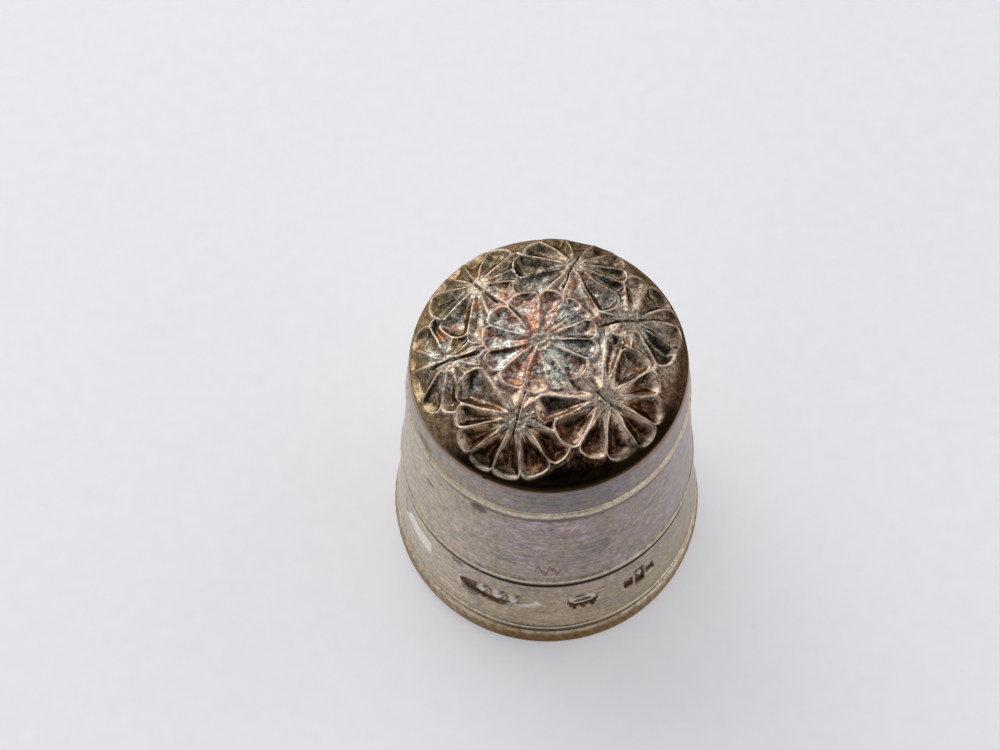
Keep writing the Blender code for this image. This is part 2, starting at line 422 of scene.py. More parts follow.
UNDERCUT_HEIGHT = 0.12        # a fine line turned under a bead
UNDERCUT_DEPTH = 0.05
FINE_FROM = math.radians(-160)  # azimuths between which columns are fine
FINE_TO = math.radians(-36)
FINE_STEP = math.radians(0.32)
COARSE_STEP = math.radians(1.5)
MARK_ROWS = (4.0, 6.85)       # heights between which rows are fine enough for the struck marks
SCRATCH_ROWS = (8.85, 10.0)   # and for the scratched one
FINE_ROW = 0.05
GROOVE = ((0.36, 0.0), (0.22, 0.055), (0.1, 0.115), (0.02, 0.13))   # distance below the bead, depth
TOP_CORNER = 0.09
MARK_WALL = 0.09              # width of a punch's sloping wall


def rounded(distance, width=MARK_WALL):
    """1 well inside an outline and 0 outside, from a signed distance that is positive inside."""
    return ease(-width / 2, width / 2, distance)


def bell(u, v, centre_u, centre_v, size):
    """1 at a point of a mark, falling off all round."""
    return np.exp(-((u - centre_u) ** 2 + (v - centre_v) ** 2) / size ** 2)


def oval_mark(u, v):
    """An oval field with three raised beads in a row: its depth, stain and pale share, worn and painted as a
    highlight.
    """
    from_edge = (1 - np.hypot(u / 2.28, v / 0.84)) * 0.84
    field = rounded(from_edge)
    beads = np.zeros_like(u)
    dots = np.zeros_like(u)
    for centre, height, size in ((-0.98, 0.16, 0.3), (-0.04, 0.1, 0.33), (0.86, -0.02, 0.3)):
        beads = np.maximum(beads, rounded(size - np.hypot(u - centre, (v - height) * 0.62), 0.24))
        dots = np.maximum(dots, bell(u, v, centre + 0.26, height + 0.34, 0.15))
        dots = np.maximum(dots, 0.8 * bell(u, v, centre - 0.36, height + 0.1, 0.13))
    left_end = field * ease(-1.15, -1.55, u - 0.3 * v)
    low_line = np.exp(-((from_edge - 0.1) / 0.1) ** 2) * ease(0.0, -0.35, v)
    low_line = low_line * ease(1.5, 0.9, u)
    stain = np.clip(0.08 * field + left_end + 0.85 * low_line + 0.9 * dots, 0, 1)
    right_end = np.exp(-((from_edge - 0.03) / 0.07) ** 2) * ease(0.5, 1.2, u - 0.5 * v)
    return 0.16 * field * (1 - 0.85 * beads), stain, np.maximum(0.22 * beads * field, 0.55 * right_end)


def lobed_mark(u, v):
    """A field with a raised arc above and three low lobes below: its depth, stain and pale share, worn and
    painted as a highlight.
    """
    field = rounded(0.93 - np.hypot(u * 0.97, (v - 0.08) * 1.16), 0.1)
    for centre in (-0.5, 0.0, 0.5):
        field = np.maximum(field, rounded(0.26 - np.hypot(u - centre, v + 0.62 - 0.14 * abs(centre))))
    from_arc = np.abs(np.hypot(u * 0.8, v + 0.1) - 0.52)
    arc = rounded(0.1 - from_arc, 0.14) * ease(-0.25, 0.05, v)
    bar = np.minimum(0.08 - np.abs(v + 0.12 - 0.1 * u), 0.55 - np.abs(u))
    raised = np.maximum(arc, rounded(bar, 0.12))
    low = ease(-0.16, -0.3, v)
    gap = np.exp(-((np.hypot(u * 0.8, v + 0.1) - 0.3) / 0.12) ** 2) * ease(-0.1, 0.1, v)
    stain = field * np.clip(0.1 + 0.75 * low + 0.8 * gap, 0, 1)
    return 0.17 * field * (1 - 0.8 * raised), stain, 0.45 * raised * field


def stepped_mark(u, v):
    """Three small squares side by side, the middle one taller: its depth, stain and pale share, worn and
    painted as a highlight.
    """
    squares = np.zeros_like(u)
    stain = np.zeros_like(u)
    for centre, base, height in ((-0.72, -0.16, 0.58), (0.0, -0.06, 0.98), (0.74, -0.1, 0.58)):
        square = rounded(np.minimum(0.3 - np.abs(u - centre), height - np.abs(v - base)))
        squares = np.maximum(squares, square)
        stain = np.maximum(stain, square * ease(base + 0.45 * height, base - 0.4 * height, v))
    lozenge = rounded(0.2 - np.abs(u) - 0.6 * np.abs(v - 0.12), 0.12)
    top = bell(u, v, 0.0, 0.56, 0.2)
    raised = np.maximum(lozenge, 0.6 * bell(np.abs(u), v, 0.74, 0.02, 0.16))
    stain = np.clip(0.45 * squares + 0.5 * stain + 0.4 * top * squares, 0, 1) * (1 - 0.7 * raised)
    return 0.18 * squares * (1 - 0.7 * raised), stain, 0.4 * raised * squares


def scratched_mark(u, v):
    """A short zigzag scratched by hand: its depth, stain and pale share (none)."""
    zigzag = 0.34 * np.sin(9.5 * u) * (1 - 0.3 * u) + 0.12 * np.sin(23 * u)
    line = rounded(0.1 - np.abs(v - zigzag) * 0.42, 0.12) * rounded(0.68 - np.abs(u), 0.1)
    return 0.02 * line, 0.75 * line, np.zeros_like(line)


def plain_mark(u, v):
    """A shallow rectangle with one slanted end, worn almost flat."""
    sides = np.minimum(1.15 - u, u + 1.35 - 0.55 * v)
    return 0.045 * rounded(np.minimum(sides, 0.68 - np.abs(v)), 0.36)


# Each struck mark: azimuth in degrees, height, and its shape.
MARKS = (
    (-108.0, 5.28, oval_mark),
    (-75.2, 5.25, lobed_mark),
    (-51.2, 5.3, stepped_mark),
    (-88.8, 9.42, scratched_mark),
)
# The mark worn almost flat; its pale colour is a painted highlight.
RUBBED_MARK = (-147.5, 5.52, plain_mark)
DENTS = (
    # azimuth in degrees, height, width, depth
    (-63, 12.6, 1.6, 0.03),
    (-140, 11.0, 1.9, 0.025),
    (25, 5.0, 1.8, 0.035),
    (110, 11.5, 2.2, 0.03),
    (-112, 16.7, 1.0, 0.02),
)


def around(azimuth, centre_degrees):
    """Signed angle from a centre azimuth, from -pi to pi."""
    return (azimuth - math.radians(centre_degrees) + math.pi) % TAU - math.pi


def band_depth(azimuth, z):
    """How far the band's outside lies under its cone, and masks of the struck marks' stain and of the marks'
    pale parts: wear with painted highlights.
    """
    struck = np.zeros_like(z)
    stained = np.zeros_like(z)
    raised = np.zeros_like(z)
    for centre, height, shape in MARKS:
        found = shape(around(azimuth, centre) * cone_radius(z), z - height)
        struck, stained, raised = map(np.maximum, (struck, stained, raised), found)
    centre, height, shape = RUBBED_MARK
    rubbed_and_lit = shape(around(azimuth, centre) * cone_radius(z), z - height)
    depth = struck + rubbed_and_lit
    for centre, height, width, dent in DENTS:
        u = around(azimuth, centre) * cone_radius(z)
        depth += dent * np.exp(-(u ** 2 + (z - height) ** 2) / width ** 2 * 2)
    points = polar(8, azimuth, z)
    depth += 0.012 * lumps_at(points, 3.0, 41) + 0.004 * lumps_at(points, 0.8, 42)
    # Pale: the punches' worn lips, and painted highlights on the raised parts and on the mark worn flat.
    lip = np.exp(-((struck - 0.03) / 0.025) ** 2) * (struck > 0.004)
    bare_and_highlight = np.maximum(0.5 * lip * (1 - stained), raised)
    masks = {"stain": stained, "bare_and_highlight": np.maximum(bare_and_highlight, 0.9 * ease(0.006, 0.042, rubbed_and_lit))}
    return depth, masks


def outer_rows():
    """(r, z) rows up the band's outside, with the beads' seats and the groove under the middle bead."""
    rows = [(cone_radius(BAND_LOW[2]) - 0.04, BAND_LOW[2])]

    def climb(start, end, pitch):
        count = max(1, round((end - start) / pitch))
        for z in np.linspace(start, end, count + 1):
            rows.append((cone_radius(z), z))

    z = BAND_LOW[2] + 0.05
    for name in BEAD_NODES:
        centre, height, _ = BEADS[name]
        low = centre - height / 2 - CLEARANCE
        high = centre + height / 2 + CLEARANCE
        if name == "middle_bead_ring":
            climb(z, MARK_ROWS[0] - FINE_ROW, 0.25)
            climb(*MARK_ROWS, FINE_ROW)
            climb(MARK_ROWS[1] + 2 * FINE_ROW, low - 0.42, 0.15)
            for below, depth in GROOVE:
                rows.append((cone_radius(low - below) - depth, low - below))
        else:
            climb(z, low - UNDERCUT_HEIGHT, 0.28)
            rows.append((cone_radius(low) - UNDERCUT_DEPTH * 0.8, low - UNDERCUT_HEIGHT * 0.45))
            rows.append((cone_radius(low) - UNDERCUT_DEPTH, low - 0.01))
        rows.append((cone_radius(low) - SEAT_DEPTH, low))
        rows.append((cone_radius(high) - SEAT_DEPTH, high))
        rows.append((cone_radius(high), high))
        z = high + 0.04
        if name == "middle_bead_ring":
            climb(z, SCRATCH_ROWS[0] - FINE_ROW, 0.2)
            climb(*SCRATCH_ROWS, FINE_ROW)
            z = SCRATCH_ROWS[1] + 2 * FINE_ROW
    climb(z, BAND_HIGH[2] - TOP_CORNER, 0.22)
    corner = (cone_radius(BAND_HIGH[2]) - TOP_CORNER, BAND_HIGH[2] - TOP_CORNER)
    rows.extend(ellipse_arc(corner, TOP_CORNER, TOP_CORNER, 15, 90, 5))
    return rows


def build_band(material):
    """The side band: fine where the marks are, open at the seam's slot, closed all round."""
    outer = outer_rows()
    inner = [(cone_radius(z) - WALL, z) for z in np.linspace(BAND_HIGH[2], BAND_LOW[2], 12)]
    profile = np.array(outer + inner)
    half_slot = math.asin(SEAM_SLOT / 2 / BAND_HIGH[0])
    start = SEAM_AZIMUTH + half_slot
    fine_right = np.arange(start, FINE_TO, FINE_STEP)
    coarse = np.arange(FINE_TO, FINE_FROM + TAU, COARSE_STEP)
    fine_left = np.linspace(FINE_FROM + TAU, SEAM_AZIMUTH + TAU - half_slot,
                            round((SEAM_AZIMUTH - half_slot - FINE_FROM) / FINE_STEP))
    azimuths = np.concatenate([fine_right, coarse, fine_left])
    points = revolve(profile, azimuths)
    azimuth = np.tile(azimuths, len(profile))
    radius = np.hypot(points[:, 0], points[:, 1])
    is_outer = np.repeat(np.arange(len(profile)) < len(outer), len(azimuths))
    depth, masks = band_depth(azimuth, points[:, 2])
    z = points[:, 2]
    # Marks and dents fade out towards the ends and the beads, where pieces meet.
    kept = np.minimum(ease(BAND_LOW[2], BAND_LOW[2] + 0.4, z),
                      1 - ease(BAND_HIGH[2] - 0.4, BAND_HIGH[2], z))
    for name in BEAD_NODES:
        centre, height, _ = BEADS[name]
        kept = kept * ease(height / 2 + 0.05, height / 2 + 0.45, np.abs(z - centre))
    moved = np.where(is_outer, -depth * kept, 0)
    # The slot has parallel walls, so it takes a wider angle where the radius is smaller.
    from_seam = (azimuth - SEAM_AZIMUTH) % TAU
    true_half = np.arcsin(SEAM_SLOT / 2 / radius)
    shift = true_half - half_slot
    from_seam = from_seam + shift * np.where(from_seam < math.pi, np.exp(-from_seam / 0.2), 0)
    from_seam = from_seam - shift * np.where(from_seam >= math.pi, np.exp(-(TAU - from_seam) / 0.2), 0)
    azimuth = SEAM_AZIMUTH + from_seam
    points = polar(radius + moved, azimuth, z)
    columns = len(azimuths)
    faces = ring_faces(len(profile), columns, closed_columns=False)
    faces.append(tuple(row * columns for row in range(len(profile)))[::-1])
    faces.append(tuple(row * columns + columns - 1 for row in range(len(profile))))
    masks = {key: np.where(is_outer, mask, 0) for key, mask in masks.items()}
    band = make_piece("side_band_worked", points, faces, material, masks)
    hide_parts("side_band")


# ---------------------------------------------------------------- beads, rim and solder

# Shares of each bead's height between which its pale top, worn and painted as a highlight, fades into the
# band above it.
FADES_ABOVE = {
    "lower_bead_ring": (0.88, 1.0),
    "middle_bead_ring": (0.78, 0.92),
    "upper_bead_ring": (0.95, 1.05),
}
BEAD_COLUMNS = 360


def build_bead(name, material):
    """A half-round bead in its seat, a little uneven where fingers have worn it."""
    centre, height, proud = BEADS[name]
    low, high = centre - height / 2 - CLEARANCE * 0.9, centre + height / 2 + CLEARANCE * 0.9
    angles = np.radians(np.linspace(-90, 90, 23))
    heights = (low + high) / 2 + (high - low) / 2 * np.sin(angles)
    bulge = np.cos(angles)
    # The upper edge runs out into the band instead of meeting it at a corner.
    runs_out = ease(high, high - 0.22 * height, heights)
    bulge = bulge * (0.25 + 0.75 * runs_out)
    front = [(cone_radius(z) + proud * out, z) for z, out in zip(heights, bulge)]
    back = SEAT_DEPTH - CLEARANCE
    profile = front + [(cone_radius(high) - back, high), (cone_radius(low) - back, low)]
    points = revolve(profile, even_azimuths(BEAD_COLUMNS))
    outward = np.repeat(np.concatenate([bulge, [0, 0]]), BEAD_COLUMNS)
    wear = 0.12 * proud * (lumps_at(points, 2.5, 51) + 0.5 * lumps_at(points, 0.7, 52) - 0.5)
    share = (points[:, 2] - low) / (high - low)
    edge = 0.07 * lumps_at(points, 1.1, 53)
    # Pale top: worn, with a painted highlight; dark lower half: painted shade.
    rubbed_and_lit = ease(0.46, 0.6, share + edge) * (1 - ease(*FADES_ABOVE[name], share))
    underside = 1 - ease(0.36, 0.52, share + edge)
    points = push_out(points, wear * outward)
    bead = make_piece(name.replace("_ring", "_wire"), points, ring_faces(len(profile), BEAD_COLUMNS),
                      material, {"rubbed_and_lit": rubbed_and_lit, "underside": underside})
    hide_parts(name)


RIM_INNER = 8.14
RIM_FOOT = 8.6
RIM_TOP = 8.52
RIM_BULGE_HEIGHT = 0.85
MILLED_LINES = 96
MILLING_SLANT = 0.05          # radians that a milled line leans per millimetre of height
MILLING_DEPTH = 0.022
RIM_SOFT = 0.05               # rounding of the rim's inner corners
RIM_COLUMNS = 768


def build_rim(material):
    """The rim: half round, faintly milled with slanting lines, flat where it stands."""
    bulge = RIM_HIGH[0]
    lower = ellipse_arc((RIM_FOOT, RIM_BULGE_HEIGHT), bulge - RIM_FOOT, RIM_BULGE_HEIGHT, -90, 0, 12)
    upper = ellipse_arc((RIM_TOP, RIM_BULGE_HEIGHT), bulge - RIM_TOP, RIM_HIGH[2] - RIM_BULGE_HEIGHT,
                        0, 90, 12)
    profile = lower + upper[1:]
    profile += [(RIM_INNER + RIM_SOFT, RIM_HIGH[2]), (RIM_INNER, RIM_HIGH[2] - RIM_SOFT),
                (RIM_INNER, RIM_SOFT * 1.6), (RIM_INNER + RIM_SOFT * 0.5, RIM_SOFT * 0.5),
                (RIM_INNER + RIM_SOFT * 1.6, 0)]
    azimuths = even_azimuths(RIM_COLUMNS)
    points = revolve(profile, azimuths)
    azimuth = np.tile(azimuths, len(profile))
    z = points[:, 2]
    milled = ease(0.15, 0.45, z) * (1 - ease(1.35, 1.65, z))
    wave = np.cos(MILLED_LINES * (azimuth + MILLING_SLANT * z))
    worn = 0.6 + 0.4 * lumps_at(points, 2.0, 61)
    outside = np.repeat(np.arange(len(profile)) < len(lower) + len(upper) - 1, RIM_COLUMNS)
    nick = MILLING_DEPTH * milled * worn * (0.5 + 0.5 * wave)
    lumps = milled * 0.01 * lumps_at(points, 1.4, 62)
    points = push_out(points, np.where(outside, -nick - 0.01 * milled + lumps, 0))
    milling = np.where(outside, milled * (0.5 + 0.5 * wave), 0)
    rim = make_piece("base_rim_milled", points, ring_faces(len(profile), RIM_COLUMNS), material,
                     {"milling": milling}, sharp_degrees=60)
    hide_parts("base_rim")


def build_seam(material):
    """The strip of solder that fills the seam flush with the band, waved like the band beside it."""
    heights = list(np.linspace(SEAM_LOW[2], SEAM_HIGH[2], 140))
    seats = [(centre - height / 2 - CLEARANCE, centre + height / 2 + CLEARANCE)
             for centre, height, _ in BEADS.values()]
    for low, high in seats:
        heights += [low - 0.005, low + 0.001, high - 0.001, high + 0.005]
    heights = sorted(heights)
    rows = len(heights)
    half = SEAM_SLOT / 2 - 0.002
    direction = np.array([math.cos(SEAM_AZIMUTH), math.sin(SEAM_AZIMUTH)])
    side = np.array([-direction[1], direction[0]])
    points = []
    for z in heights:
        in_seat = any(low < z < high for low, high in seats)
        outer = cone_radius(z) - (SEAT_DEPTH + 0.005 if in_seat else 0.004)
        inner = cone_radius(z) - WALL
        for radius, across in ((outer, -half), (outer, half), (inner, half), (inner, -half)):
            points.append([*(direction * radius + side * across), z])
    points = np.array(points)
    azimuth = np.arctan2(points[:, 1], points[:, 0]) % TAU
    depth, masks = band_depth(azimuth, points[:, 2])
    is_outer = np.tile([True, True, False, False], rows)
    masks = {key: np.where(is_outer, mask, 0) for key, mask in masks.items()}
    points = push_out(points, np.where(is_outer, -depth, 0))
    faces = ring_faces(rows, 4, closed_rows=False)
    faces.append((3, 2, 1, 0))
    faces.append(tuple(4 * (rows - 1) + index for index in range(4)))
    seam = make_piece("side_seam_strip", points, faces, material, masks,
                      sharp_degrees=30)
    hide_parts("side_seam_solder")


def build_fillet(material):
    """The run of solder in the corner under the cap's spigot, a little lumpy on its hollow side."""
    size = FILLET_HIGH[2] - FILLET_LOW[2]
    top, bottom = FILLET_HIGH[2], FILLET_LOW[2]
    wall_top = cone_radius(top) - WALL - JOINT_GAP
    wall_bottom = cone_radius(bottom) - WALL - JOINT_GAP
    hollow = ellipse_arc((wall_top - size, bottom), size * 0.85, size * 0.85, 0, 90, 8)
    profile = [(wall_bottom, bottom), (wall_top, top), (wall_top - size, top)] + hollow[::-1]
    columns = 240
    points = revolve(profile, even_azimuths(columns))
    first_hollow = 4
    on_hollow = np.repeat(np.arange(len(profile)) >= first_hollow, columns)
    points = push_out(points, np.where(on_hollow, 0.03 * lumps_at(points, 0.7, 71), 0))
    fillet = make_piece("cap_solder_run", points, ring_faces(len(profile), columns), material)
    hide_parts("cap_solder_fillet")


# ---------------------------------------------------------------- materials


tree = None                   # the node tree that the functions below add to


def add(kind, inputs=None, **settings):
    """A node of a kind, with settings, and with inputs that are values or other nodes' sockets."""
    node = tree.nodes.new(kind)
    for key, value in settings.items():
        setattr(node, key, value)
    for key, value in (inputs or {}).items():
        connect(value, node.inputs[key])
    return node


def connect(value, socket):
    """Link a socket to another node's, or set it to a value; a colour may leave out its alpha."""
    if isinstance(value, bpy.types.NodeSocket):
        tree.links.new(value, socket)
    elif socket.type == "RGBA" and len(value) == 3:
        socket.default_value = (*value, 1)
    else:
        socket.default_value = value


def calc(operation, *values, clamp=False):
    """The result of a Math node."""
    return add("ShaderNodeMath", dict(enumerate(values)), operation=operation, use_clamp=clamp).outputs[0]


def times(first, *others, clamp=False):
    """The product of some values."""
    for value in others:
        first = calc("MULTIPLY", first, value, clamp=clamp)
    return first


def inverse(value):
    """1 less a value."""
    return calc("SUBTRACT", 1.0, value)


def scaled(value, slope, offset, clamp=False):
    """A value times a slope, plus an offset."""
    return calc("ADD", times(value, slope), offset, clamp=clamp)


def weighted(*pairs):
    """The sum of some values, each times its weight."""
    total, *others = [times(value, weight) for value, weight in pairs]
    for part in others:
        total = calc("ADD", total, part)
    return total


def step(value, low, high):
    """0 below low and 1 above high, smooth between."""
    return add("ShaderNodeMapRange", {0: value, 1: low, 2: high}, interpolation_type="SMOOTHSTEP").outputs[0]


def noise(vector, scale, detail=3.0, roughness=0.55):
    """The value of a noise texture; scale is in features per metre."""
    inputs = {"Vector": vector, "Scale": scale, "Detail": detail, "Roughness": roughness}
    return add("ShaderNodeTexNoise", inputs).outputs[0]


def ramp(factor, *stops):
    """A colour ramp's colour; stops are (position, colour or grey value)."""
    node = add("ShaderNodeValToRGB", {0: factor})
    elements = node.color_ramp.elements
    while len(elements) < len(stops):
        elements.new(0.5)
    for element, (position, color) in zip(elements, stops):
        element.position = position
        element.color = (color, color, color, 1) if isinstance(color, float) else (*color, 1)
    return node.outputs[0]


def mix(factor, low, high, blend="MIX"):
    """A colour mixed from two colours."""
    return add("ShaderNodeMix", {0: factor, 6: low, 7: high}, data_type="RGBA", blend_type=blend).outputs[2]


def tint(color, towards, *shares):
    """A colour taken towards another by the product of some shares."""
    return mix(times(*shares), color, towards)


def shade(color, by):
    """A colour multiplied by another."""
    return mix(1.0, color, by, blend="MULTIPLY")


def attribute(name):
    """A number stored on the mesh's points."""
    return add("ShaderNodeAttribute", attribute_name=name).outputs["Fac"]


def stretch(vector, scale):
    """Coordinates scaled differently along each axis."""
    return add("ShaderNodeVectorMath", {0: vector, 1: scale}, operation="MULTIPLY").outputs[0]


def bump(height, distance, strength):
    """A normal from a height; distance is in metres."""
    return add("ShaderNodeBump", {"Height": height, "Distance": distance, "Strength": strength}).outputs[0]


def surface(color, roughness, normal, **sockets):
    """A Principled shader as the material's surface, metallic unless the sockets say otherwise."""
    inputs = {"Base Color": color, "Metallic": 1.0, "Roughness": roughness, "Normal": normal}
    inputs.update({key.replace("_", " "): value for key, value in sockets.items()})
    add("ShaderNodeOutputMaterial", {"Surface": add("ShaderNodeBsdfPrincipled", inputs).outputs[0]})


def use_tree(owner):
    """Start a new node tree on a material or world."""
    global tree
    owner.use_nodes = True
    tree = owner.node_tree
    tree.nodes.clear()


def new_material(name):
    """A material, and object coordinates in metres with their separate axes."""
    material = bpy.data.materials.new(name)
    use_tree(material)
    vector = add("ShaderNodeTexCoord").outputs["Object"]
    return material, vector, list(add("ShaderNodeSeparateXYZ", {0: vector}).outputs)


def near_point(vector, point, inner, outer):
    """1 within `inner` of a point in the frame, falling to 0 at `outer`; all in millimetres."""
    centre = tuple(value * MM for value in point)
    node = add("ShaderNodeVectorMath", {0: vector, 1: centre}, operation="DISTANCE")
    return inverse(step(node.outputs["Value"], inner * MM, outer * MM))


# Colours of the cap's tarnish: levels of the hue noise, and the colour at each.
VIOLET = ((0.38, (0.04, 0.02, 0.014)), (0.44, (0.15, 0.062, 0.04)), (0.48, (0.23, 0.105, 0.072)),
          (0.52, (0.2, 0.138, 0.122)), (0.56, (0.32, 0.25, 0.21)), (0.61, (0.62, 0.5, 0.4)))
BLUE = ((0.38, (0.03, 0.026, 0.026)), (0.43, (0.092, 0.08, 0.076)), (0.48, (0.16, 0.15, 0.148)),
        (0.53, (0.29, 0.28, 0.248)), (0.6, (0.62, 0.59, 0.49)))
GREY = ((0.39, (0.048, 0.034, 0.023)), (0.46, (0.13, 0.095, 0.066)), (0.52, (0.215, 0.163, 0.115)),
        (0.6, (0.41, 0.32, 0.235)))
OLIVE = ((0.39, (0.036, 0.027, 0.013)), (0.46, (0.095, 0.073, 0.037)), (0.52, (0.15, 0.122, 0.066)),
         (0.6, (0.3, 0.26, 0.16)))
RUSSET = ((0.4, (0.028, 0.01, 0.005)), (0.48, (0.066, 0.027, 0.014)), (0.54, (0.12, 0.058, 0.032)),
          (0.62, (0.25, 0.145, 0.085)))
TEAL = ((0.39, (0.05, 0.042, 0.032)), (0.46, (0.15, 0.13, 0.102)), (0.53, (0.3, 0.275, 0.222)),
        (0.6, (0.56, 0.51, 0.41)))
ORANGE_FLECK = (0.56, 0.235, 0.08)
PALE_FILM = (0.68, 0.72, 0.64)
DIRT = (0.045, 0.033, 0.022)
PAINTED_WALL_HIGHLIGHT = (0.66, 0.475, 0.345)
PAINTED_DARK_REFLECTION = (0.008, 0.005, 0.003)
LEFT_RUST = (0.225, 0.155, 0.088)
SHADED_RIGHT_RUST = (0.034, 0.015, 0.008)
CREASE_DIRT = (0.03, 0.02, 0.014)
BOSS_SILVER = ((0.36, (0.12, 0.095, 0.07)), (0.62, (0.44, 0.37, 0.29)))
RUBBED_AND_LIT_SILVER = ((0.35, (0.48, 0.355, 0.26)), (0.65, (0.96, 0.79, 0.65)))
CAP_EDGE_TINT = (0.72, 0.6, 0.48)
RIM_EDGE_TINT = (0.62, 0.51, 0.4)

# Regions of the cap: a point, the distance that they hold for, and the one where they end.
MIDDLE = ((-0.5, 0.1, 19.9), 2.3, 3.3)
AROUND_MIDDLE = ((-0.6, -0.4, 19.6), 4.0, 6.2)
LEFT = ((-5.2, -1.4, 19.4), 1.6, 2.8)
RIGHT = ((4.2, 0.2, 19.6), 1.2, 2.8)
PALE = ((-1.0, -1.2, 19.9), 1.0, 2.4)


def film_color(vector, axes, noises):
    """The colours that lie on the cap: films near the middle daisy, olive, grey and teal round it."""
    x, y, _ = axes
    hue, blotch, fine, patch = noises
    spread = noise(vector, 2100.0, detail=4.0, roughness=0.75)
    olive = ramp(hue, *OLIVE)
    blue = ramp(hue, *BLUE)
    cluster = weighted((spread, 0.45), (patch, 0.55))
    film = mix(step(cluster, 0.46, 0.53), ramp(hue, *VIOLET), blue)
    middle = near_point(vector, *MIDDLE)
    back_left = step(calc("SUBTRACT", times(y, 0.8), x), 0.0015, 0.0055)
    left = near_point(vector, *LEFT)
    right = near_point(vector, *RIGHT)
    color = tint(ramp(hue, *GREY), olive, back_left, step(patch, 0.36, 0.56))
    color = tint(color, ramp(hue, *TEAL), right, step(patch, 0.36, 0.6))
    left_film = shade(mix(step(spread, 0.46, 0.54), olive, blue), (1.12, 1.09, 1.00))
    color = tint(color, left_film, left, step(patch, 0.3, 0.5))
    reach = times(near_point(vector, *AROUND_MIDDLE), step(spread, 0.41, 0.53), 0.85)
    middle = calc("MAXIMUM", middle, reach)
    color = mix(middle, color, film)
    # Flecks of orange, and of pale blue where the film is thinnest.
    flecks = step(noise(vector, 1900.0, detail=4.0, roughness=0.7), 0.565, 0.63)
    where = calc("MAXIMUM", middle, times(left, 0.8))
    flecks = times(flecks, where, step(fine, 0.38, 0.5))
    flecks = times(flecks, inverse(step(patch, 0.5, 0.6)))
    color = tint(color, ORANGE_FLECK, flecks, 0.8)
    pale_patch = times(step(cluster, 0.49, 0.56), step(blotch, 0.42, 0.52))
    color = tint(color, PALE_FILM, near_point(vector, *PALE), pale_patch, 0.75)
    return color, middle, back_left


def cap_material():
    """Oxidised silver: dark floors with film colours, a painted dark reflection along the front edge,
    painted highlights on the front petals' walls, pale worn ridges with a painted highlight.
    """
    material, vector, axes = new_material("oxidised_struck_silver")
    x, y, _ = axes
    hollow = attribute("hollow")
    blotch = noise(vector, 3000.0, detail=4.0, roughness=0.7)
    fine = noise(vector, 8500.0, roughness=0.75)
    patch = noise(vector, 620.0, roughness=0.6)
    hue = weighted((blotch, 0.55), (fine, 0.45))
    color, middle, back_left = film_color(vector, axes, (hue, blotch, fine, patch))

    # Dirt lies deep in the outer daisies; the middle one is kept clean by the finger's push.
    dirt = times(step(hollow, 0.25, 0.75), step(patch, 0.3, 0.55))
    color = tint(color, DIRT, dirt, inverse(middle), 0.55)

    # The front is russet in its hollows and on the land near the edge; its petals' walls get a pale painted
    # highlight.
    to_front = weighted((y, -1.0), (x, 0.22))
    front = step(to_front, 0.0016, 0.0036)
    radius = calc("SQRT", calc("ADD", times(x, x), times(y, y)))
    outer_land = times(step(radius, 0.0043, 0.0054), 0.8)
    share = calc("MAXIMUM", scaled(step(hollow, 0.45, 0.85), 0.75, 0.2), outer_land)
    color = tint(color, ramp(hue, *RUSSET), front, share)
    # Painted highlight: pale on the front petals' walls.
    wall = times(step(hollow, 0.01, 0.12), inverse(step(hollow, 0.42, 0.78)))
    wall = times(wall, step(blotch, 0.36, 0.54))
    color = tint(color, PAINTED_WALL_HIGHLIGHT, wall, front, 0.85)

    # Along the edge the black in front is a painted dark reflection; elsewhere the edge is rusty, with
    # painted shade darkening its right side.
    dark_reflection = times(step(radius, 0.00575, 0.0063), step(to_front, 0.0022, 0.0046))
    color = mix(dark_reflection, color, PAINTED_DARK_REFLECTION)
    rust = times(step(radius, 0.0057, 0.0064), inverse(dark_reflection))
    # Painted shade: the rust turns near black towards the edge's right side and stays lighter on the left.
    rust_and_side_shade = mix(step(x, -0.003, 0.003), LEFT_RUST, SHADED_RIGHT_RUST)
    rust_and_side_shade = shade(rust_and_side_shade, ramp(hue, (0.42, 0.55), (0.58, 1.6)))
    color = tint(color, rust_and_side_shade, rust, 0.85)
    color = tint(color, CREASE_DIRT, attribute("crease"), 0.6)
    color = mix(attribute("boss"), color, ramp(fine, *BOSS_SILVER))

    # Ridges are rubbed pale, unevenly, and less at the back; the pale also stands for a painted highlight
    # along them.
    uneven = step(noise(vector, 850.0, detail=2.0), 0.38, 0.58)
    back = calc("MAXIMUM", back_left, step(y, 0.0018, 0.004))
    uneven = times(uneven, inverse(times(back, 0.55)))
    rubbed_and_lit = times(attribute("crest"), scaled(uneven, 0.8, 0.15))
    color = tint(color, ramp(fine, *RUBBED_AND_LIT_SILVER), rubbed_and_lit, 0.95)

    rough = mix(rubbed_and_lit, ramp(fine, (0.3, 0.2), (0.7, 0.36)), (0.46, 0.46, 0.46))
    lumps = noise(vector, 4200.0, detail=4.0, roughness=0.7)
    lumps = times(lumps, scaled(hollow, 0.6, 0.4, clamp=True))
    normal = bump(lumps, 0.00003, 0.75)
    surface(color, rough, normal, Specular_Tint=CAP_EDGE_TINT)
    return material


def brushed(vector, strength):
    """A normal with fine broken turning lines round the axis and a little grain, and the lines' height."""
    lines = noise(stretch(vector, (320.0, 320.0, 9000.0)), 1.0, detail=4.0, roughness=0.72)
    grain = noise(vector, 7000.0, roughness=0.65)
    height = weighted((lines, 0.6), (grain, 0.4))
    return bump(height, 0.000012, strength), lines


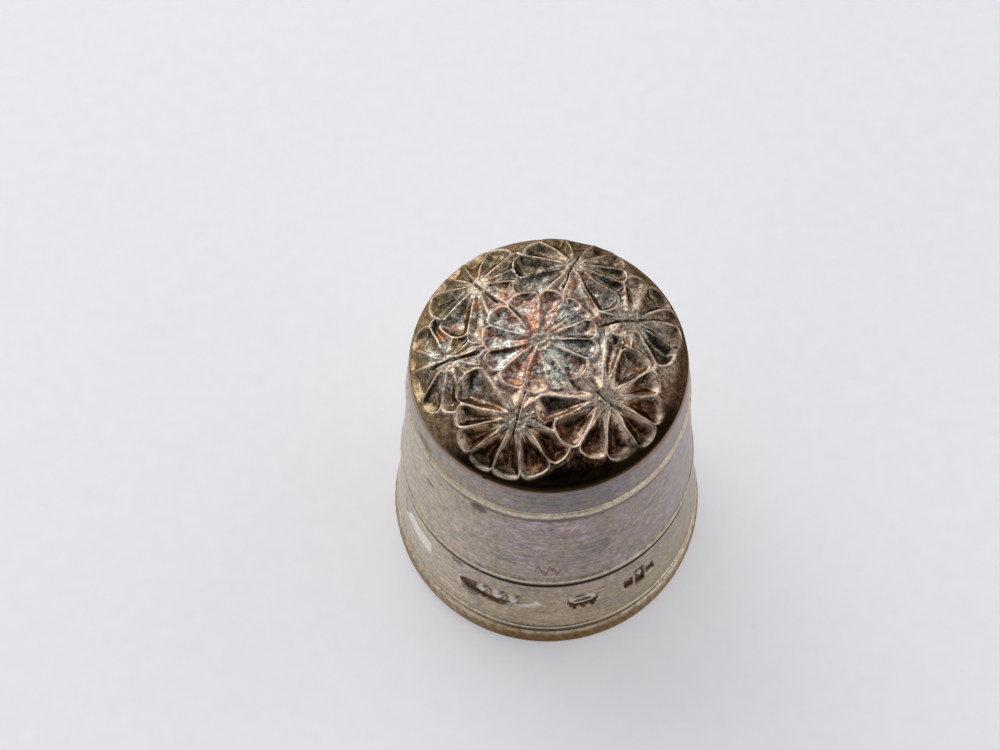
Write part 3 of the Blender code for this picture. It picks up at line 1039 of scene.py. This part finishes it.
# Dark tarnish spots on the band: azimuth in degrees, height and size in millimetres.
SMUDGES = (
    (-159.8, 6.0, 0.3), (-158.4, 5.5, 0.26), (-160.8, 6.4, 0.24), (-119.2, 14.55, 0.36),
    (-117.4, 14.6, 0.42), (-115.6, 14.55, 0.34), (-144.0, 12.9, 0.3), (-141.8, 12.9, 0.26),
    (-126.6, 7.12, 0.32), (-124.6, 7.1, 0.34), (-152.0, 16.2, 0.4), (-148.5, 16.3, 0.5),
    (-145.5, 16.2, 0.35), (-121.0, 4.6, 0.42), (-118.0, 4.45, 0.45), (-26.0, 7.45, 0.4),
    (70.0, 12.0, 0.45), (140.0, 6.2, 0.5),
)
# The painted shadow line under each bead: its length in millimetres and darkness, and the levels of the
# cloud noise between which it fades in, which break it up.
SHADOW_UNDER_BEAD = {
    "lower_bead_ring": (0.4, 0.75, (0.3, 0.46)),
    "middle_bead_ring": (0.34, 0.98, (0.0, 0.2)),
    "upper_bead_ring": (0.16, 0.45, (0.32, 0.46)),
}
# Colours of the side: levels of a noise, and the colour at each.
LILAC = ((0.38, (0.29, 0.25, 0.228)), (0.46, (0.365, 0.292, 0.228)), (0.52, (0.32, 0.262, 0.255)),
         (0.6, (0.4, 0.3, 0.312)))
BEIGE = ((0.35, (0.355, 0.275, 0.165)), (0.65, (0.45, 0.355, 0.225)))
SHEET_SHADE = ((0.38, 0.48), (0.46, 0.84), (0.54, 1.12), (0.62, 1.58))
STAIN = ((0.4, (0.04, 0.016, 0.007)), (0.62, (0.19, 0.08, 0.036)))
RUBBED_AND_LIT_BEAD = ((0.32, (0.36, 0.28, 0.18)), (0.44, (0.52, 0.44, 0.32)), (0.65, (0.64, 0.56, 0.43)))
PALE_SIDE = (0.66, 0.58, 0.48)
DARK_TOP = (0.22, 0.18, 0.16)
BLUE_TOP = (0.135, 0.135, 0.155)
SMUDGE = (0.1, 0.068, 0.05)
BEAD_SHADOW = (0.022, 0.012, 0.007)
BEAD_UNDERSIDE_SHADE = (0.075, 0.045, 0.03)
SEAM_FILLING = (0.17, 0.13, 0.11)
TOP_EDGE = (0.3, 0.2, 0.15)
BARE_SILVER_AND_HIGHLIGHT = (0.88, 0.83, 0.78)


def on_band(azimuth, height):
    """A point on the band's outside, in millimetres."""
    radius = cone_radius(height)
    return radius * math.cos(math.radians(azimuth)), radius * math.sin(math.radians(azimuth)), height


def sheet_color(vector, axes, lines):
    """The side's tarnish: lilac grey above, warmer below and to the left, mottled and scratched."""
    x, _, z = axes
    cloud = noise(vector, 300.0, detail=4.0, roughness=0.6)
    mottle = noise(vector, 3600.0, detail=4.0, roughness=0.75)
    patches = noise(vector, 900.0, roughness=0.6)
    hue = weighted((cloud, 0.5), (patches, 0.5))
    low = inverse(step(z, 0.003, 0.011))
    side = step(times(x, -1.0), 0.001, 0.007)
    warm = times(calc("MAXIMUM", low, side), step(cloud, 0.15, 0.55), clamp=True)
    color = mix(warm, ramp(hue, *LILAC), ramp(cloud, *BEIGE))
    color = tint(color, PALE_SIDE, side, 0.42)
    above = step(z, 0.015, 0.0168)
    color = tint(color, DARK_TOP, above, 0.55)
    blue = near_point(vector, on_band(-78, 16.6), 0.8, 4.0)
    color = tint(color, BLUE_TOP, blue, above, step(patches, 0.25, 0.6), 0.75)
    texture = weighted((lines, 0.36), (mottle, 0.5), (patches, 0.14))
    return shade(color, ramp(texture, *SHEET_SHADE)), mottle, cloud


def side_material(name, filled_seam):
    """Satin silver with turning lines, stained marks, pale marks worn and painted as highlights, painted
    shadow lines under the beads and a few smudges.
    """
    material, vector, axes = new_material(name)
    z = axes[2]
    normal, lines = brushed(vector, 0.6)
    color, mottle, cloud = sheet_color(vector, axes, lines)
    if filled_seam:
        broken = step(noise(vector, 600.0, detail=2.0), 0.44, 0.58)
        color = tint(color, SEAM_FILLING, broken, 0.26)
    stain = times(step(attribute("stain"), 0.05, 0.6), step(mottle, 0.24, 0.42))
    color = tint(color, ramp(mottle, *STAIN), stain, 0.95)
    for azimuth, height, size in SMUDGES:
        spot = near_point(vector, on_band(azimuth, height), size * 0.5, size)
        color = tint(color, SMUDGE, spot, step(mottle, 0.3, 0.46), 0.75)
    # A painted shadow line under each bead, darker towards the front.
    for bead, (length, share, gaps) in SHADOW_UNDER_BEAD.items():
        centre, bead_height, _ = BEADS[bead]
        edge = centre - bead_height / 2
        line = calc("SUBTRACT", step(z, (edge - length - 0.08) * MM, (edge - length) * MM),
                    step(z, (edge + 0.02) * MM, (edge + 0.05) * MM))
        line = times(line, step(cloud, *gaps), clamp=True)
        front = near_point(vector, on_band(-72, edge), 5.0, 9.5)
        color = tint(color, BEAD_SHADOW, line, scaled(front, 0.45, 0.55), share)
    top = step(z, (BAND_HIGH[2] - 0.22) * MM, (BAND_HIGH[2] - 0.05) * MM)
    color = tint(color, TOP_EDGE, top, 0.55)
    # Pale parts of the marks: worn silver with painted highlights.
    bare_and_highlight = times(attribute("bare_and_highlight"), ramp(lines, (0.4, 0.75), (0.56, 1.0)))
    color = mix(bare_and_highlight, color, BARE_SILVER_AND_HIGHLIGHT)
    rough = mix(bare_and_highlight, ramp(mottle, (0.3, 0.28), (0.7, 0.42)), (0.24, 0.24, 0.24))
    surface(color, rough, normal, Anisotropic=0.4)
    return material


def bead_material():
    """Silver worn pale along the top of a bead with a painted highlight, and painted shade along its
    underside.
    """
    material, vector, axes = new_material("worn_and_lit_bead_silver")
    normal, lines = brushed(vector, 0.3)
    slope, mottle, _ = sheet_color(vector, axes, lines)
    # Painted highlight along the top, painted shade along the underside.
    color = mix(attribute("rubbed_and_lit"), slope, ramp(mottle, *RUBBED_AND_LIT_BEAD))
    color = tint(color, BEAD_UNDERSIDE_SHADE, attribute("underside"), 0.85)
    surface(color, ramp(mottle, (0.3, 0.34), (0.6, 0.24)), normal)
    return material


# Colours of the rim.
GOLDEN = ((0.34, (0.42, 0.305, 0.18)), (0.5, (0.54, 0.42, 0.27)), (0.66, (0.62, 0.52, 0.37)))
BROWN = ((0.36, (0.14, 0.078, 0.04)), (0.62, (0.27, 0.18, 0.11)))
RIM_SHADE = ((0.35, 0.62), (0.5, 0.95), (0.64, 1.18))
PALE_RIM = (0.62, 0.55, 0.46)
MILLING_DIRT = (0.12, 0.062, 0.028)
FOOT_RUST = (0.36, 0.15, 0.045)


def rim_material():
    """Worn silver: golden, brown low down in front (tarnish with painted contact shade) and in the milled
    lines, paler at the sides.
    """
    material, vector, axes = new_material("worn_rim_silver")
    z = axes[2]
    normal, _ = brushed(vector, 0.35)
    cloud = noise(vector, 420.0)
    mottle = noise(vector, 2800.0, detail=4.0, roughness=0.7)
    low = inverse(step(z, 0.0013, 0.0019))
    front = near_point(vector, (1.0, -8.6, 0.9), 2.5, 8.0)
    # Brown low down in front: tarnish, with painted shade where the rim meets the table.
    tarnish_and_shade = times(low, step(cloud, 0.28, 0.55), scaled(front, 0.75, 0.2))
    color = mix(tarnish_and_shade, ramp(cloud, *GOLDEN), ramp(cloud, *BROWN))
    color = tint(color, PALE_RIM, inverse(front), 0.6)
    color = shade(color, ramp(mottle, *RIM_SHADE))
    color = tint(color, MILLING_DIRT, attribute("milling"), 0.4)
    foot = inverse(step(z, 0.00006, 0.00034))
    color = tint(color, FOOT_RUST, foot, 0.6)
    rough = ramp(mottle, (0.3, 0.42), (0.7, 0.3))
    surface(color, rough, normal, Specular_Tint=RIM_EDGE_TINT)
    return material


def solder_material():
    """Filed solder, a little duller and greyer than the sheet."""
    material, vector, _ = new_material("filed_solder")
    normal, _ = brushed(vector, 0.6)
    mottle = noise(vector, 2400.0, detail=4.0, roughness=0.7)
    color = ramp(mottle, (0.34, (0.3, 0.27, 0.25)), (0.6, (0.48, 0.44, 0.43)))
    surface(color, ramp(mottle, (0.3, 0.34), (0.7, 0.5)), normal)
    return material


def floor_material():
    """Plain pale table that glows a little, so that the thimble's own shade stays soft."""
    material, vector, _ = new_material("pale_table")
    grain = noise(vector, 900.0)
    color = ramp(grain, (0.3, (0.49, 0.49, 0.505)), (0.7, (0.51, 0.51, 0.525)))
    surface(color, 0.55, bump(grain, 0.00002, 0.3), Metallic=0.0,
            Emission_Color=(0.96, 0.96, 1.0), Emission_Strength=0.33)
    return material


# ---------------------------------------------------------------- floor, light and camera

FLOOR_HALF = 1.5              # metres
KEY_LIGHT = {"location": (-0.3, 0.3, 0.45), "size": 0.35, "power": 0.4, "color": (1.0, 0.99, 0.97)}
LIGHT_TARGET = (0, 0, 0.01)
# What the silver reflects: a direction, the angles in degrees over which it fades, its colour and share.
WINDOW = ((-0.45, 0.8, 0.42), 16, 46, (2.3, 2.3, 2.32), 1.0)
LAMP = ((0.75, 0.35, 0.55), 8, 26, (2.0, 1.96, 1.92), 0.7)
ONLOOKER = ((0.1, -0.74, 0.66), 22, 40, (0.012, 0.011, 0.01), 1.0)
CAMERA_LENS = 54
CAMERA_LOCATION = (0.0, -0.03216, 0.0827)
CAMERA_AIM = (-0.0026, 0.00311, 0.01)
CAMERA_ROLL = math.radians(-2.75)


def build_floor():
    """A wide flat table under the thimble."""
    mesh = bpy.data.meshes.new("table_top")
    corners = [(-1, -1), (1, -1), (1, 1), (-1, 1)]
    mesh.from_pydata([(x * FLOOR_HALF, y * FLOOR_HALF, 0) for x, y in corners], [], [(0, 1, 2, 3)])
    mesh.materials.append(floor_material())
    floor = place("table_top", mesh)


def add_key_light(location, size, power, color):
    """A square soft light aimed at the thimble; all in metres and watts."""
    data = bpy.data.lights.new("key_light", "AREA")
    data.size = size
    data.energy = power
    data.color = color
    light = place("key_light", data)
    light.location = location
    light.rotation_mode = "QUATERNION"
    light.rotation_quaternion = (Vector(LIGHT_TARGET) - Vector(location)).to_track_quat("-Z", "Y")


def build_world():
    """A room with a wide window behind and to the left, dark where the person looking on stands."""
    world = bpy.data.worlds.new("pale_room")
    bpy.context.scene.world = world
    use_tree(world)
    direction = add("ShaderNodeTexCoord").outputs["Generated"]
    up = add("ShaderNodeSeparateXYZ", {0: direction}).outputs[2]
    room = ramp(up, (0.0, (0.95, 0.95, 0.97)), (0.35, (0.86, 0.86, 0.88)), (0.75, (0.66, 0.66, 0.68)),
                (1.0, (0.62, 0.62, 0.64)))
    room = shade(room, ramp(noise(direction, 2.6, detail=2.0), (0.36, 0.7), (0.64, 1.25)))
    # Darker things stand near the horizon.
    things = noise(stretch(direction, (1.7, 1.7, 0.5)), 1.0, detail=1.0)
    shaded = shade(room, ramp(things, (0.42, 0.34), (0.56, 1.12)))
    color = tint(room, shaded, inverse(step(up, 0.1, 0.42)), 0.85)
    for towards, narrow, wide, seen, share in (WINDOW, LAMP, ONLOOKER):
        inputs = {0: direction, 1: tuple(Vector(towards).normalized())}
        cosine = add("ShaderNodeVectorMath", inputs, operation="DOT_PRODUCT").outputs["Value"]
        lobe = step(cosine, math.cos(math.radians(wide)), math.cos(math.radians(narrow)))
        color = tint(color, seen, lobe, share)
    background = add("ShaderNodeBackground", {"Color": color, "Strength": 1.0})
    add("ShaderNodeOutputWorld", {"Surface": background.outputs[0]})


def build_camera():
    """The camera: close, looking steeply down from the front."""
    data = bpy.data.cameras.new("camera")
    data.lens = CAMERA_LENS
    data.sensor_width = 36
    data.clip_start = 0.005
    data.clip_end = 10
    camera = place("camera", data)
    location = Vector(CAMERA_LOCATION)
    look = (Vector(CAMERA_AIM) - location).to_track_quat("-Z", "Y").to_matrix().to_4x4()
    camera.matrix_world = Matrix.Translation(location) @ look @ Matrix.Rotation(CAMERA_ROLL, 4, "Z")
    bpy.context.scene.camera = camera


def build():
    """Every piece, the table, the light and the camera."""
    band = side_material("satin_band_silver", filled_seam=False)
    beads = bead_material()
    solder = solder_material()
    build_cap(cap_material())
    build_band(band)
    for name in BEAD_NODES:
        build_bead(name, beads)
    build_rim(rim_material())
    build_fillet(solder)
    build_seam(side_material("seam_solder", filled_seam=True))
    build_floor()
    build_world()
    add_key_light(**KEY_LIGHT)
    build_camera()
    bpy.context.scene.view_settings.view_transform = "Standard"


build()
